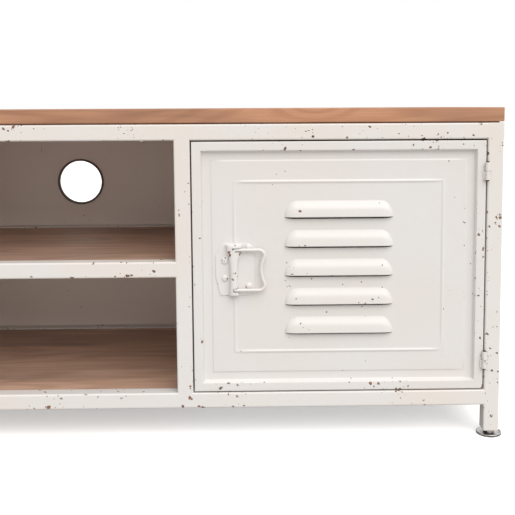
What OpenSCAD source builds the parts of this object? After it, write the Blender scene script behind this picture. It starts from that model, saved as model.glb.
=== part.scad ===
// Low media cabinet: square steel tube frame, wood top, open centre bay with one shelf,
// and a louvred steel door on each side. Millimetres, +Z up, front towards -Y.
// The origin is on the floor, at the middle of the cabinet.

/* [Overall size] */
// Width over the frame and the wood top
body_w = 1200; // [1000:10:1500]
// Depth over the frame and the wood top
body_d = 330; // [280:5:420]
// Height from the floor to the wood top
body_h = 420; // [380:5:520]

/* [Frame] */
// Side of the square tube
tube = 20; // [16:1:25]
// Wall of the square tube
tube_wall = 1.2; // [0.9:0.1:2]
// Outer corner radius of the square tube
tube_corner = 2; // [1.5:0.1:3]
// Clear width of the open bay between the middle posts
bay_w = 380; // [300:5:460]
// Height of the bottom rails' underside
rail_lift = 41; // [35:1:60]
// Height of the shelf rails' top face
shelf_top = 229.5; // [200:0.5:260]
// Thickness of the steel sheets
sheet = 1; // [0.8:0.1:1.5]
// How far the end sheets sit in from the outer face of the legs
end_sheet_inset = 5; // [2:0.5:12]

/* [Wood] */
// Thickness of the wood top
top_t = 17.5; // [15:0.5:25]
// Height of the shadow groove under the wood top
groove_h = 1.5; // [1:0.5:3]
// Depth of the shadow groove under the wood top
groove_in = 5; // [3:0.5:10]
// Thickness of the shelf and floor boards
board_t = 15; // [12:0.5:18]
// How far the boards lie below the tops of their rails
board_drop = 1.5; // [0.5:0.5:3]
// Play around the boards
board_play = 0.5; // [0.3:0.1:1]

/* [Cable hole] */
// Radius of the cable hole
hole_r = 34; // [25:1:40]
// Height of the cable hole's centre
hole_z = 301; // [290:1:310]
// Wall of the edging ring
edging_wall = 1.6; // [1.2:0.1:3]
// Length of the edging ring through the back sheet
edging_len = 7; // [5:0.5:12]

/* [Door] */
// Gap all round the door
door_gap = 1.8; // [1.5:0.1:3]
// Width of the flat rim
door_rim = 11; // [9:0.5:16]
// Depth of the pressed pan behind the rim
pan_depth = 6; // [5:0.5:8]
// Thickness of the door skin
skin = 1.2; // [1:0.1:1.5]
// Depth of the folded edge
door_depth = 14; // [12:0.5:20]
// Width of the return lip inside the door
lip_w = 12; // [10:0.5:16]
// Distance from the pan's wall to the raised field
moat_w = 13; // [8:0.5:20]
// How far the field stands forward of the moat
field_step = 1; // [0.6:0.1:1]
// Half width of the creased rectangle
crease_x = 131; // [120:1:140]
// Half height of the creased rectangle
crease_z = 108; // [104:1:115]
// Radius of the crease bead
crease_r = 1; // [0.6:0.1:1.5]

/* [Louvres] */
// Number of louvres in a door
louvre_count = 5; // [3:1:5]
// Width of a louvre
louvre_w = 136; // [100:1:150]
// Height of a louvre
louvre_h = 21; // [16:1:24]
// Distance from one louvre to the next
louvre_pitch = 36.9; // [30:0.1:38]
// How far a louvre's mouth stands forward
louvre_out = 5.5; // [4:0.5:6]

/* [Hinges] */
// Height of the hinges above and below the door's middle
hinge_z = 120; // [100:1:130]
// Length of one hinge barrel
barrel_len = 11; // [8:0.5:15]
// Outer radius of a hinge barrel
barrel_r = 3; // [2.8:0.1:3]
// Radius of the hinge pin
pin_r = 1.5; // [1.2:0.1:1.6]
// Gap between a barrel and the face behind it
barrel_gap = 0.3; // [0.3:0.05:0.5]

/* [Handle] */
// Distance from the door's middle to the bail's pivot
handle_in = 132.5; // [128:0.5:138]
// How far the handle's middle lies below the door's
handle_drop = 2.5; // [0:0.5:6]
// Half height of the bail, to the middle of the wire
bail_h = 25.5; // [22:0.5:30]
// Reach of the bail from its pivot to the middle of the wire
bail_reach = 39; // [36:0.5:42]
// Radius of the bail's wire
wire_r = 2; // [1.5:0.1:2.2]
// Outer radius of the handle's clip barrel
clip_r = 4.6; // [4:0.1:4.8]
// Thickness of the handle plate
plate_t = 1.2; // [1:0.1:2]

/* [Feet] */
// Radius of a foot's disc
foot_r = 16; // [13:0.5:20]
// Thickness of a foot's disc
foot_t = 3; // [2:0.5:5]
// Height of the legs' lower ends above the floor
leg_lift = 7; // [6.5:0.5:12]
// Radius of a foot's stud
stud_r = 3.95; // [2.95:0.05:4.95]

/* [Hidden] */
// Running clearance of a stud or pin in its bore, on the radius.
run = 0.05;
// Smallest free gap between pieces that move apart.
free = 0.3;
// Overlap that joins the folded parts of one sheet into one solid.
bite = 0.2;

front = -body_d / 2;
back = body_d / 2;
end_x = body_w / 2;
post_x = bay_w / 2;
leg_x = end_x - tube / 2;
mid_x = post_x + tube / 2;
leg_y = body_d / 2 - tube / 2;
frame_top = body_h - top_t - groove_h;
top_rail_z = frame_top - tube;
floor_z = rail_lift + tube;
door_open_w = end_x - post_x - 2 * tube;
door_w = door_open_w - 2 * door_gap;
door_h = top_rail_z - floor_z - 2 * door_gap;
door_x = post_x + tube + door_open_w / 2;
door_z = (top_rail_z + floor_z) / 2;
inner_y = body_d / 2 - tube;

pan_w = door_w - 2 * door_rim;
pan_h = door_h - 2 * door_rim;
field_w = pan_w - 2 * moat_w;
field_h = pan_h - 2 * moat_w;
field_y = pan_depth - field_step;
slit_h = 4.5;

axis_in = barrel_r + barrel_gap;
hinge_x = door_w / 2 + door_gap / 2;
clip_y = field_y - plate_t - clip_r;
clip_half = bail_h + 7;
slot_play = 0.5;
bend_r = 7;
bend_extra = 25;
bail_stub = 11;

rivet_r = 1.6;
rivet_head = 3.2;
top_screw_r = 2;
// Screws under the top, [x, y] from the middle, mirrored to all four quarters.
top_screw_places = [[leg_x, 100], [150, leg_y]];
board_screw_r = 1.5;
nut_r = 7;

// Handle plate, from the bail's pivot, with cut corners.
plate_outline = [[-22.5, 18], [-14, 33], [20, 33], [26, 28], [26, -28], [20, -33], [-17, -33], [-22.5, -8]];
rivet_places = [[-11, 11], [-11, -11], [19, 28], [19, -21]];

sides = [-1, 1];
corners = [[-1, -1], [1, -1], [-1, 1], [1, 1]];
back_rivet_x = [-leg_x, -leg_x + 195, -mid_x, 0, mid_x, leg_x - 195, leg_x];
back_rivet_z = [rail_lift + tube / 2, top_rail_z + tube / 2];
bracket_x = 120;
bracket_w = 24;
bracket_t = 1.5;
bracket_reach = 20;
bracket_drop = 3.5;
catch_z = door_z + 100;

white = [0.92, 0.9, 0.87];
bright = [0.78, 0.78, 0.77];
dark = [0.28, 0.2, 0.15];
wood = [0.72, 0.53, 0.41];

// ---- shared shapes ----

// A box given by its lowest and highest corners.
module block(low, high) {
    translate(low) cube(high - low);
}

// A square with true round corners, centred on the origin.
module round_square(side, r) {
    square([side - 2 * r, side], center = true);
    square([side, side - 2 * r], center = true);
    for (c = corners) translate([c[0] * (side / 2 - r), c[1] * (side / 2 - r)]) circle(r = r, $fn = 32);
}

// Square tube of the given length, standing on the origin.
module tube_up(length) {
    linear_extrude(length) difference() {
        round_square(tube, tube_corner);
        square(tube - 2 * tube_wall, center = true);
    }
}

// Square tube along X, from x0 to x1.
module tube_x(x0, x1, y, z) {
    translate([x0, y, z]) rotate([0, 90, 0]) tube_up(x1 - x0);
}

// Square tube along Y, from y0 to y1.
module tube_y(x, y0, y1, z) {
    translate([x, y1, z]) rotate([90, 0, 0]) tube_up(y1 - y0);
}

// Places a right-hand door piece, drawn about the door's middle with y = 0 at its front face.
module on_door(side) {
    if (side > 0) translate([door_x, front, door_z]) children();
    else mirror([1, 0, 0]) translate([door_x, front, door_z]) children();
}

// ---- holes that several pieces share ----

module back_rivet_shanks(r) {
    for (x = back_rivet_x, z = back_rivet_z)
        translate([x, back + sheet, z]) rotate([90, 0, 0]) cylinder(r = r, h = sheet + 2 * tube_wall, $fn = 24);
}

module at_top_screws() {
    for (p = top_screw_places, sx = sides, sy = sides)
        translate([sx * p[0], sy * p[1], top_rail_z]) children();
}

module top_screw_shanks(r, rise) {
    at_top_screws() cylinder(r = r, h = tube + rise, $fn = 24);
}

module board_screw_shanks(r, board_low, rise) {
    for (x = [-bracket_x, bracket_x], s = sides)
        translate([x, s * (inner_y - bracket_reach / 2), board_low - bracket_t])
            cylinder(r = r, h = bracket_t + rise, $fn = 24);
}

// ---- frame ----

module leg(sx, sy) {
    color(white) difference() {
        translate([sx * leg_x, sy * leg_y, leg_lift]) tube_up(frame_top - leg_lift);
        if (sy > 0) back_rivet_shanks(rivet_r);
    }
}

module middle_post(sx, sy) {
    color(white) translate([sx * mid_x, sy * leg_y, floor_z]) tube_up(top_rail_z - floor_z);
}

module long_rail(sy, z) {
    color(white) difference() {
        tube_x(-leg_x + tube / 2, leg_x - tube / 2, sy * leg_y, z + tube / 2);
        if (sy > 0) back_rivet_shanks(rivet_r);
        if (z == top_rail_z) top_screw_shanks(top_screw_r + free, 1);
    }
}

module end_rail(sx, z) {
    color(white) difference() {
        tube_y(sx * leg_x, -inner_y, inner_y, z + tube / 2);
        if (z == top_rail_z) top_screw_shanks(top_screw_r + free, 1);
    }
}

module cross_rail(sx) {
    color(white) tube_y(sx * mid_x, -inner_y, inner_y, rail_lift + tube / 2);
}

module shelf_rail(sy) {
    color(white) tube_x(-post_x, post_x, sy * leg_y, shelf_top - tube / 2);
}

// ---- steel sheets ----

module end_sheet(sx) {
    x = sx * (end_x - end_sheet_inset - sheet / 2);
    color(white) block([x - sheet / 2, -inner_y, floor_z], [x + sheet / 2, inner_y, top_rail_z]);
}

module divider_sheet(sx) {
    color(white) block([sx * mid_x - sheet / 2, -inner_y, floor_z], [sx * mid_x + sheet / 2, inner_y, frame_top]);
}

// The back is three sheets that meet on the middle posts.
module back_sheet(x0, x1) {
    color(white) difference() {
        block([x0, back, rail_lift], [x1, back + sheet, frame_top]);
        back_rivet_shanks(rivet_r);
        translate([0, back, hole_z]) rotate([-90, 0, 0])
            cylinder(r = hole_r + edging_wall, h = 3 * sheet, center = true, $fn = 96);
    }
}

module cable_hole_edging() {
    lip = edging_wall;
    color(dark) translate([0, back + sheet / 2 - edging_len / 2, hole_z]) rotate([-90, 0, 0]) difference() {
        union() {
            cylinder(r = hole_r + edging_wall, h = edging_len, $fn = 96);
            cylinder(r = hole_r + 2 * edging_wall, h = lip, $fn = 96);
            translate([0, 0, edging_len - lip]) cylinder(r = hole_r + 2 * edging_wall, h = lip, $fn = 96);
        }
        translate([0, 0, -1]) cylinder(r = hole_r, h = edging_len + 2, $fn = 96);
    }
}

module cabinet_floor(sx) {
    x0 = post_x + tube + free;
    x1 = leg_x - tube / 2 - free;
    color(white) block([sx > 0 ? x0 : -x1, -inner_y - 5, floor_z], [sx > 0 ? x1 : -x0, back, floor_z + sheet]);
}

// ---- wood ----

module wood_top() {
    color(wood) difference() {
        union() {
            block([-end_x, front, body_h - top_t], [end_x, back, body_h]);
            block([-end_x + groove_in, front + groove_in, frame_top],
                  [end_x - groove_in, back - groove_in, body_h - top_t]);
        }
        top_screw_shanks(top_screw_r, 12);
    }
}

module board(half_w, top) {
    half_d = inner_y - board_play;
    low = top - board_drop - board_t;
    color(wood) difference() {
        block([-half_w, -half_d, low], [half_w, half_d, low + board_t]);
        board_screw_shanks(board_screw_r, low, 8);
    }
}

module shelf_board() {
    board(mid_x - sheet / 2 - board_play, shelf_top);
}

module bay_floor_board() {
    board(post_x - board_play, floor_z);
}

// ---- small fixings of the frame ----

// Angle welded to a rail's inner face, with one leg under the board.
module bracket(x, s, board_low) {
    y0 = s * inner_y;
    y1 = s * (inner_y - bracket_reach);
    y2 = s * (inner_y - bracket_t);
    difference() {
        union() {
            block([x - bracket_w / 2, min(y0, y1), board_low - bracket_t], [x + bracket_w / 2, max(y0, y1), board_low]);
            block([x - bracket_w / 2, min(y0, y2), board_low - bracket_drop], [x + bracket_w / 2, max(y0, y2), board_low]);
        }
        board_screw_shanks(board_screw_r + 0.2, board_low, 0);
    }
}

module board_brackets() {
    color(white) for (top = [shelf_top, floor_z], x = [-bracket_x, bracket_x], s = sides)
        bracket(x, s, top - board_drop - board_t);
}

// Pan head, dome up, seat at z = 0.
module dome(r, h) {
    rotate_extrude($fn = 32) intersection() {
        square([r, h]);
        translate([0, h - (r * r + h * h) / (2 * h)]) circle(r = (r * r + h * h) / (2 * h), $fn = 64);
    }
}

module board_screws() {
    color(bright) for (top = [shelf_top, floor_z]) {
        low = top - board_drop - board_t;
        board_screw_shanks(board_screw_r, low, 8);
        for (x = [-bracket_x, bracket_x], s = sides)
            translate([x, s * (inner_y - bracket_reach / 2), low - bracket_t]) mirror([0, 0, 1]) dome(3, 1.8);
    }
}

module top_screws() {
    color(bright) {
        top_screw_shanks(top_screw_r, 12);
        at_top_screws() mirror([0, 0, 1]) dome(3.5, 2.2);
    }
}

module back_sheet_rivets() {
    color(white) {
        back_rivet_shanks(rivet_r);
        for (x = back_rivet_x, z = back_rivet_z)
            translate([x, back + sheet, z]) rotate([-90, 0, 0]) dome(rivet_head, 1.4);
    }
}

// ---- hinges ----

// One barrel with a short leaf: the leaf is flush on the face at y = 0 and runs to leaf_x.
module hinge_barrel(leaf_x, bore) {
    difference() {
        union() {
            cylinder(r = barrel_r, h = barrel_len, $fn = 48);
            block([min(0, leaf_x), 0, 0], [max(0, leaf_x), axis_in, barrel_len]);
        }
        translate([0, 0, -1]) cylinder(r = bore, h = barrel_len + 2, $fn = 48);
        block([-door_gap / 2 - free, barrel_gap, -1], [door_gap / 2, axis_in + 1, barrel_len + 1]);
    }
}

module at_hinges() {
    for (s = sides) translate([hinge_x, -axis_in, s * hinge_z]) children();
}

module frame_hinge_barrels() {
    color(white) for (side = sides) on_door(side) at_hinges() translate([0, 0, free / 2]) hinge_barrel(7, pin_r);
}

module door_hinge_barrels(side) {
    color(white) on_door(side) at_hinges() translate([0, 0, -barrel_len - free / 2]) mirror([1, 0, 0])
        hinge_barrel(7, pin_r + run);
}

module hinge_pins() {
    head = 1.2;
    color(bright) for (side = sides) on_door(side) at_hinges() {
        translate([0, 0, -barrel_len - 1.5 * free]) cylinder(r = pin_r, h = 2 * barrel_len + 2 * free, $fn = 48);
        translate([0, 0, barrel_len + free / 2]) dome(2.4, head);
        translate([0, 0, -barrel_len - 1.5 * free]) mirror([0, 0, 1]) dome(2.4, head);
    }
}

// ---- door ----

// One pressed louvre: a thin slanted hood closed at both ends, its mouth downwards.
module louvre() {
    shape = [[0, louvre_h], [-0.45 * louvre_out, louvre_h - 2.5], [-0.8 * louvre_out, louvre_h - 6],
             [-louvre_out, 0], [0, 0]];
    inner = [[0, louvre_h - 2 * skin], [-0.45 * louvre_out + skin, louvre_h - 2.5 - skin],
             [-0.8 * louvre_out + skin, louvre_h - 6], [-louvre_out + skin, -1], [2, -1], [2, louvre_h - 2 * skin]];
    rotate([0, 90, 0]) rotate([0, 0, 90]) difference() {
        translate([0, 0, -louvre_w / 2]) linear_extrude(louvre_w) polygon(shape);
        translate([0, 0, -louvre_w / 2 + skin]) linear_extrude(louvre_w - 2 * skin) polygon(inner);
    }
}

function louvre_z(i) = (i - (louvre_count - 1) / 2) * louvre_pitch - louvre_h / 2;

module ring(w, h, band, y0, y1) {
    difference() {
        block([-w / 2, y0, -h / 2], [w / 2, y1, h / 2]);
        block([-w / 2 + band, y0 - 1, -h / 2 + band], [w / 2 - band, y1 + 1, h / 2 - band]);
    }
}

// Places what is drawn about the middle of the bail's pivot, still with y = 0 at the door's front face.
module at_handle() {
    translate([-handle_in, 0, -handle_drop]) children();
}

// Bead pressed round the louvres, flattened where the handle plate lies on it.
module crease() {
    difference() {
        for (s = sides) {
            translate([-crease_x, field_y + 0.3, s * crease_z])
                rotate([0, 90, 0]) cylinder(r = crease_r, h = 2 * crease_x, $fn = 24);
            translate([s * crease_x, field_y + 0.3, -crease_z]) cylinder(r = crease_r, h = 2 * crease_z, $fn = 24);
        }
        at_handle() block([-24, field_y - 2 * crease_r, -34], [27, field_y, 34]);
    }
}

module door_skin() {
    ring(door_w, door_h, door_rim + bite, 0, skin);
    ring(door_w, door_h, skin, 0, door_depth);
    ring(door_w, door_h, lip_w, door_depth - skin, door_depth);
    ring(pan_w, pan_h, skin, 0, pan_depth + skin);
    ring(pan_w, pan_h, moat_w + skin, pan_depth, pan_depth + skin);
    difference() {
        block([-field_w / 2, field_y, -field_h / 2], [field_w / 2, field_y + skin, field_h / 2]);
        for (i = [0:louvre_count - 1]) translate([0, field_y, louvre_z(i)])
            block([-louvre_w / 2 + skin, -1, 0], [louvre_w / 2 - skin, skin + 1, louvre_h - 4 * skin]);
    }
    for (i = [0:louvre_count - 1]) translate([0, field_y + bite, louvre_z(i)]) louvre();
    crease();
}

module handle_rivet_places() {
    at_handle() for (p = rivet_places) translate([p[0], field_y, p[1]]) rotate([90, 0, 0]) children();
}

module door_panel(side) {
    color(white) on_door(side) difference() {
        door_skin();
        handle_rivet_places() translate([0, 0, -5]) cylinder(r = rivet_r, h = 10, $fn = 24);
    }
}

module strike_plate(side) {
    color(bright) on_door(side) translate([-door_w / 2 + 1.5, door_depth, catch_z - door_z])
        block([0, 0, -18], [9, 1, 18]);
}

module door_catches() {
    x0 = -door_open_w / 2;
    y0 = door_depth + 1 + free;
    color(dark) for (side = sides) on_door(side) translate([x0, y0, catch_z - door_z]) {
        block([0, 0, -16], [12, 16, 16]);
        block([0, 0, -24], [2.5, 16, 24]);
    }
}

// ---- handle ----

// Clip barrel about the pivot, slotted where the bail's arms swing from +X round to the front.
module clip_barrel() {
    swing = wire_r + slot_play;
    difference() {
        union() {
            translate([0, 0, -clip_half]) cylinder(r = clip_r, h = 2 * clip_half, $fn = 48);
            block([-clip_r, 0, -clip_half], [clip_r, clip_r + bite, clip_half]);
        }
        translate([0, 0, -clip_half - 1]) cylinder(r = wire_r + run, h = 2 * clip_half + 2, $fn = 48);
        for (s = sides) translate([0, 0, s * bail_h]) block([-swing, -2 * clip_r, -swing], [2 * clip_r, swing, swing]);
    }
}

module handle_plate(side) {
    color(white) on_door(side) difference() {
        union() {
            at_handle() translate([0, field_y, 0]) rotate([90, 0, 0]) linear_extrude(plate_t) polygon(plate_outline);
            at_handle() translate([0, clip_y, 0]) clip_barrel();
        }
        handle_rivet_places() translate([0, 0, -1]) cylinder(r = rivet_r, h = 5, $fn = 24);
    }
}

module handle_rivets(side) {
    color(white) on_door(side) handle_rivet_places() {
        translate([0, 0, -skin - 1]) cylinder(r = rivet_r, h = skin + 1 + plate_t, $fn = 24);
        translate([0, 0, plate_t]) dome(rivet_head, 1.6);
        translate([0, 0, -skin]) mirror([0, 0, 1]) dome(rivet_head - 0.4, 1.2);
    }
}

// Points of an arc about c in the bail's plane, each with the wire's heading there.
function bend(c, r, a0, a1, steps) = [
    for (i = [0:steps]) let (a = a0 + (a1 - a0) * i / steps)
        [c[0] + r * cos(a), c[1] + r * sin(a), a1 > a0 ? a + 90 : a - 90]
];

// Upper half of the bail: the stub in the clip, the arm, the corner and half of the wave in the grip.
function bail_half() =
    let (
        arm_end = bail_reach - bend_r,
        start = wire_r + 0.5,
        wave_r = (bail_h - bend_r * (1 + sin(bend_extra))) / sin(bend_extra),
        wave_x = arm_end + (bend_r + wave_r) * cos(bend_extra)
    )
    concat(
        [[0, bail_stub, 90]],
        bend([start, bail_h - start], start, 180, 90, 6),
        bend([arm_end, bail_h - bend_r], bend_r, 90, -bend_extra, 10),
        bend([wave_x, 0], wave_r, 180 - bend_extra, 180, 8)
    );

function bail_path() =
    let (half = bail_half())
    concat(half, [for (i = [len(half) - 2:-1:0]) [half[i][0], -half[i][1], 180 - half[i][2]]]);

// Round wire swept along points in the XZ plane.
module wire(path, r, sides_n) {
    rings = [for (p = path, k = [0:sides_n - 1]) let (a = 360 * k / sides_n, side = r * cos(a))
        [p[0] - side * sin(p[2]), r * sin(a), p[1] + side * cos(p[2])]];
    last = len(path) - 1;
    quads = [for (i = [0:last - 1], k = [0:sides_n - 1]) let (n = (k + 1) % sides_n)
        [i * sides_n + k, i * sides_n + n, (i + 1) * sides_n + n, (i + 1) * sides_n + k]];
    caps = [[for (k = [sides_n - 1:-1:0]) k], [for (k = [0:sides_n - 1]) last * sides_n + k]];
    polyhedron(rings, concat(quads, caps));
}

module handle_bail(side) {
    color(white) on_door(side) at_handle() translate([0, clip_y, 0]) wire(bail_path(), wire_r, 16);
}

// ---- feet ----

module leg_inserts() {
    plug = tube - 2 * tube_wall;
    color(dark) for (c = corners) translate([c[0] * leg_x, c[1] * leg_y, leg_lift]) difference() {
        translate([-plug / 2, -plug / 2, 0]) cube([plug, plug, 14]);
        translate([0, 0, -1]) cylinder(r = stud_r + run, h = 16, $fn = 48);
    }
}

module foot_lock_nuts() {
    color(bright) for (c = corners) translate([c[0] * leg_x, c[1] * leg_y, foot_t + free]) difference() {
        cylinder(r = nut_r, h = leg_lift - foot_t - free, $fn = 6);
        translate([0, 0, -1]) cylinder(r = stud_r + run, h = leg_lift, $fn = 48);
    }
}

module foot(sx, sy) {
    edge = 0.8;
    color(bright) translate([sx * leg_x, sy * leg_y, 0]) {
        rotate_extrude($fn = 96)
            polygon([[0, 0], [foot_r - edge, 0], [foot_r, edge], [foot_r, foot_t - edge], [foot_r - edge, foot_t], [0, foot_t]]);
        translate([0, 0, foot_t - bite]) cylinder(r = stud_r, h = 26, $fn = 48);
    }
}

// ---- nodes ----

leg(-1, -1);  // leg_front_left
leg(1, -1);  // leg_front_right
leg(-1, 1);  // leg_back_left
leg(1, 1);  // leg_back_right
middle_post(-1, -1);  // middle_post_front_left
middle_post(1, -1);  // middle_post_front_right
middle_post(-1, 1);  // middle_post_back_left
middle_post(1, 1);  // middle_post_back_right
long_rail(-1, top_rail_z);  // top_rail_front
long_rail(1, top_rail_z);  // top_rail_back
long_rail(-1, rail_lift);  // bottom_rail_front
long_rail(1, rail_lift);  // bottom_rail_back
end_rail(-1, top_rail_z);  // top_end_rail_left
end_rail(1, top_rail_z);  // top_end_rail_right
end_rail(-1, rail_lift);  // bottom_end_rail_left
end_rail(1, rail_lift);  // bottom_end_rail_right
cross_rail(-1);  // bottom_cross_rail_left
cross_rail(1);  // bottom_cross_rail_right
shelf_rail(-1);  // shelf_rail_front
shelf_rail(1);  // shelf_rail_back
end_sheet(-1);  // end_sheet_left
end_sheet(1);  // end_sheet_right
divider_sheet(-1);  // divider_sheet_left
divider_sheet(1);  // divider_sheet_right
back_sheet(-end_x + 1, -mid_x - free);  // back_sheet_left
back_sheet(-mid_x + free, mid_x - free);  // back_sheet_centre
back_sheet(mid_x + free, end_x - 1);  // back_sheet_right
cable_hole_edging();
cabinet_floor(-1);  // cabinet_floor_left
cabinet_floor(1);  // cabinet_floor_right
wood_top();
shelf_board();
bay_floor_board();
board_brackets();
board_screws();
top_screws();
back_sheet_rivets();
frame_hinge_barrels();
hinge_pins();
door_catches();
leg_inserts();
foot_lock_nuts();
foot(-1, -1);  // foot_front_left
foot(1, -1);  // foot_front_right
foot(-1, 1);  // foot_back_left
foot(1, 1);  // foot_back_right
door_panel(-1);  // door_panel_left
door_panel(1);  // door_panel_right
door_hinge_barrels(-1);  // door_hinge_barrels_left
door_hinge_barrels(1);  // door_hinge_barrels_right
strike_plate(-1);  // strike_plate_left
strike_plate(1);  // strike_plate_right
handle_plate(-1);  // handle_plate_left
handle_plate(1);  // handle_plate_right
handle_rivets(-1);  // handle_rivets_left
handle_rivets(1);  // handle_rivets_right
handle_bail(-1);  // handle_bail_left
handle_bail(1);  // handle_bail_right
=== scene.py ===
"""Low media cabinet: chipped white enamel on square steel tube, wood boards and two louvred doors.

Every piece is drawn in millimetres in the cabinet's own frame (+Z up, front towards -Y, origin on
the floor in the middle), and becomes metres when it is finished.
"""

import logging
import math
import random
from collections.abc import Callable, Sequence
from dataclasses import dataclass, field
from enum import Enum

import bmesh
import bpy
from mathutils import Matrix, Vector


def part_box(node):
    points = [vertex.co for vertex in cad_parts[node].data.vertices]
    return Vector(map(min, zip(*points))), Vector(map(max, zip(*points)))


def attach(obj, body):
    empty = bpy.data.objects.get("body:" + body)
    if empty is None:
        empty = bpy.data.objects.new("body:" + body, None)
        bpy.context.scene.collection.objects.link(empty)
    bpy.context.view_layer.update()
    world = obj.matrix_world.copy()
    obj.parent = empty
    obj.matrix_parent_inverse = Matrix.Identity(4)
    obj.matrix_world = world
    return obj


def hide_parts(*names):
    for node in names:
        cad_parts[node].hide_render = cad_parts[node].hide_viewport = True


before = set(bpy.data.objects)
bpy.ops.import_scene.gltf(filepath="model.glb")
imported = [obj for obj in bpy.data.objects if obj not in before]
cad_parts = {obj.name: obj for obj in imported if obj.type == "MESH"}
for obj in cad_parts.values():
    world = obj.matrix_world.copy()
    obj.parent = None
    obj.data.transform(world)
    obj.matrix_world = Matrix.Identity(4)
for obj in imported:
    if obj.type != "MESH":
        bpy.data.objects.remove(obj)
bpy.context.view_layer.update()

MM = 0.001
LOG = logging.getLogger("cabinet")
Point = tuple[float, float, float]
Colour = tuple[float, float, float]
Socket = bpy.types.NodeSocket
# Numbers of the mix node's colour sockets, which share their names with its other kinds.
MIX_FIRST, MIX_SECOND, MIXED = 6, 7, 2


class Side(Enum):
    """Left or right half of the cabinet, as seen from the front."""

    LEFT = -1
    RIGHT = 1

    @property
    def word(self) -> str:
        """The word used in node names."""
        return self.name.lower()


class Slot(Enum):
    """Material slots of the record."""

    PAINT = "white_paint"
    WOOD = "wood_boards"
    ZINC = "zinc_plated_steel"
    EDGING = "hole_edging"
    PLASTIC = "black_plastic"


def corners(node: str) -> tuple[Vector, Vector]:
    """Lowest and highest corners of a CAD node, in millimetres.

    Args:
        node: Name of the node.

    Returns:
        The two corners.
    """
    low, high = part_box(node)
    return low / MM, high / MM


# ---- finishes ----


class Shader:
    """A node material while it is being wired."""

    def __init__(self, name: str) -> None:
        """Starts a material with one principled shader.

        Args:
            name: Name of the material.
        """
        self.material = bpy.data.materials.new(name)
        self.material.use_nodes = True
        self.tree = self.material.node_tree
        self.bsdf = self.tree.nodes["Principled BSDF"]

    def node(self, kind: str, **settings: object) -> bpy.types.Node:
        """Adds a node and sets its properties.

        Args:
            kind: Blender's type name, without the ShaderNode prefix.
            **settings: Properties of the node.

        Returns:
            The node.
        """
        made = self.tree.nodes.new("ShaderNode" + kind)
        for name, value in settings.items():
            setattr(made, name, value)
        return made

    def feed(self, socket: Socket, value: object) -> None:
        """Links a socket to another, or sets its value.

        Args:
            socket: The input.
            value: An output socket, a number or a colour.
        """
        if isinstance(value, bpy.types.NodeSocket):
            self.tree.links.new(value, socket)
        else:
            socket.default_value = value

    def math(self, operation: str, *values: object, clamp: bool = False) -> Socket:
        """Adds a math node.

        Args:
            operation: Blender's name of the operation.
            *values: Its inputs, sockets or numbers.
            clamp: Whether the result stays between 0 and 1.

        Returns:
            The result.
        """
        made = self.node("Math", operation=operation, use_clamp=clamp)
        for socket, value in zip(made.inputs, values):
            self.feed(socket, value)
        return made.outputs[0]

    def place(self, scale: Point, shift: object = None) -> Socket:
        """Object coordinates, stretched.

        Args:
            scale: Stretch along each axis, per metre.
            shift: Socket or vector added before the stretch.

        Returns:
            The coordinates.
        """
        where = self.node("TexCoord").outputs["Object"]
        if shift is not None:
            where = self.vector("ADD", where, shift)
        return self.vector("MULTIPLY", where, scale)

    def vector(self, operation: str, first: object, second: object) -> Socket:
        """Adds a vector math node with two inputs.

        Args:
            operation: Blender's name of the operation.
            first: Socket or vector.
            second: Socket or vector.

        Returns:
            The result.
        """
        made = self.node("VectorMath", operation=operation)
        self.feed(made.inputs[0], first)
        self.feed(made.inputs[1], second)
        return made.outputs["Vector"]

    def noise(self, where: Socket, scale: float = 1.0, detail: float = 3.0, rough: float = 0.55) -> Socket:
        """Adds fractal noise.

        Args:
            where: Coordinates.
            scale: Frequency.
            detail: Number of octaves.
            rough: Weight of the fine octaves.

        Returns:
            The noise, about 0.5.
        """
        made = self.node("TexNoise")
        self.feed(made.inputs["Vector"], where)
        made.inputs["Scale"].default_value = scale
        made.inputs["Detail"].default_value = detail
        made.inputs["Roughness"].default_value = rough
        return made.outputs["Fac"]

    def between(self, value: object, low: object, high: object) -> Socket:
        """Runs smoothly from 0 at low to 1 at high.

        Args:
            value: Input.
            low: Where the result leaves 0.
            high: Where the result reaches 1.

        Returns:
            The result, clamped.
        """
        made = self.node("MapRange", interpolation_type="SMOOTHSTEP")
        self.feed(made.inputs["Value"], value)
        self.feed(made.inputs["From Min"], low)
        self.feed(made.inputs["From Max"], high)
        return made.outputs["Result"]

    def mix(self, factor: object, first: object, second: object, blend: str = "MIX") -> Socket:
        """Mixes two colours.

        Args:
            factor: Share of the second colour.
            first: Colour or socket.
            second: Colour or socket.
            blend: Blender's name of the way to mix.

        Returns:
            The mixed colour.
        """
        made = self.node("Mix", data_type="RGBA", blend_type=blend)
        self.feed(made.inputs["Factor"], factor)
        for number, value in ((MIX_FIRST, first), (MIX_SECOND, second)):
            self.feed(made.inputs[number], (*value, 1.0) if isinstance(value, tuple) else value)
        return made.outputs[MIXED]

    def attribute(self, name: str) -> Socket:
        """Reads a number stored on the mesh, 0 where there is none."""
        return self.node("Attribute", attribute_name=name).outputs["Fac"]

    def bump(self, height: Socket, depth: float, strength: float = 1.0,
             under: Socket | None = None) -> Socket:
        """Adds a bump.

        Args:
            height: Height, 0 to 1.
            depth: What 1 stands for, in metres.
            strength: Share of the bump that is used.
            under: Normal that the bump is laid over.

        Returns:
            The normal.
        """
        made = self.node("Bump")
        made.inputs["Strength"].default_value = strength
        made.inputs["Distance"].default_value = depth
        self.feed(made.inputs["Height"], height)
        if under is not None:
            self.feed(made.inputs["Normal"], under)
        return made.outputs["Normal"]

    def finish(self, **inputs: object) -> bpy.types.Material:
        """Feeds the principled shader.

        Args:
            **inputs: Its inputs, with underscores for spaces.

        Returns:
            The material.
        """
        for name, value in inputs.items():
            self.feed(self.bsdf.inputs[name.replace("_", " ")], value)
        return self.material


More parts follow.
